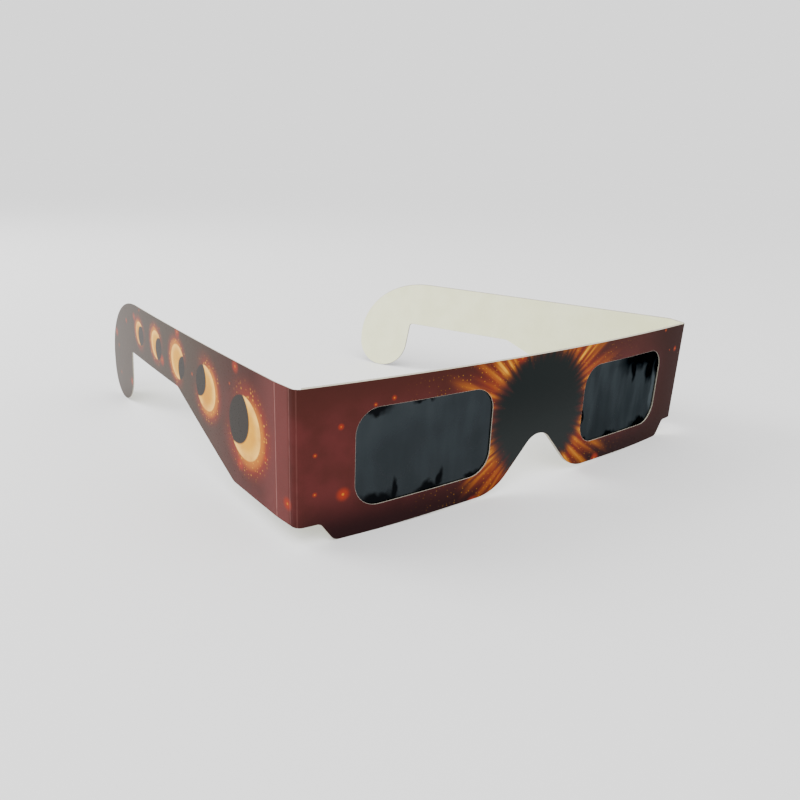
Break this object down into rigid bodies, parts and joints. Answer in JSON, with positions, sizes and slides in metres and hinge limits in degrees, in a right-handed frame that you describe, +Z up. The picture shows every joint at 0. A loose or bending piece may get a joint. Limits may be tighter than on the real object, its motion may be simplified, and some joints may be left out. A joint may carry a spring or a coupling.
{
  "type": "folding card eclipse glasses",
  "caption": "Folding card eclipse viewing glasses: a bowed two-layer front panel with dark filter films, a nose notch, and scored fold-in temples ending in ear hooks.",
  "frame": {"origin": "top of the nose notch at the middle of the front panel, halfway through the front card", "axes": "+X to the wearer's left along the front panel, +Y back towards the wearer's ears, +Z up"},
  "size_m": [0.1536, 0.1438, 0.0386],
  "materials": {
    "printed_card": "satin",
    "white_card": "matte",
    "solar_film": "gloss",
    "glue": "matte"
  },
  "bodies": {
    "front_panel": {"front_card": "printed_card", "rear_card": "white_card", "glue_layer": "glue", "right_filter_film": "solar_film", "left_filter_film": "solar_film"},
    "right_strip": {"right_hinge_strip": "printed_card"},
    "left_strip": {"left_hinge_strip": "printed_card"},
    "right_arm": {"right_temple": "printed_card"},
    "left_arm": {"left_temple": "printed_card"}
  },
  "joints": [
    {"name": "right_outer_fold", "type": "hinge", "parent": "front_panel", "child": "right_strip", "pos_m": [-0.074, 0.0045, 0], "axis": [0, 0, -1], "range_deg": [-76.3, 13.7]},
    {"name": "right_inner_fold", "type": "hinge", "parent": "right_strip", "child": "right_arm", "pos_m": [-0.07491, 0.01225, 0], "axis": [0, 0, -1], "range_deg": [-4.3, 78.7]},
    {"name": "left_outer_fold", "type": "hinge", "parent": "front_panel", "child": "left_strip", "pos_m": [0.074, 0.0045, 0], "axis": [0, 0, 1], "range_deg": [-64.3, 25.7]},
    {"name": "left_inner_fold", "type": "hinge", "parent": "left_strip", "child": "left_arm", "pos_m": [0.0765, 0.01189, 0], "axis": [0, 0, 1], "range_deg": [-39.3, 41.2]}
  ]
}
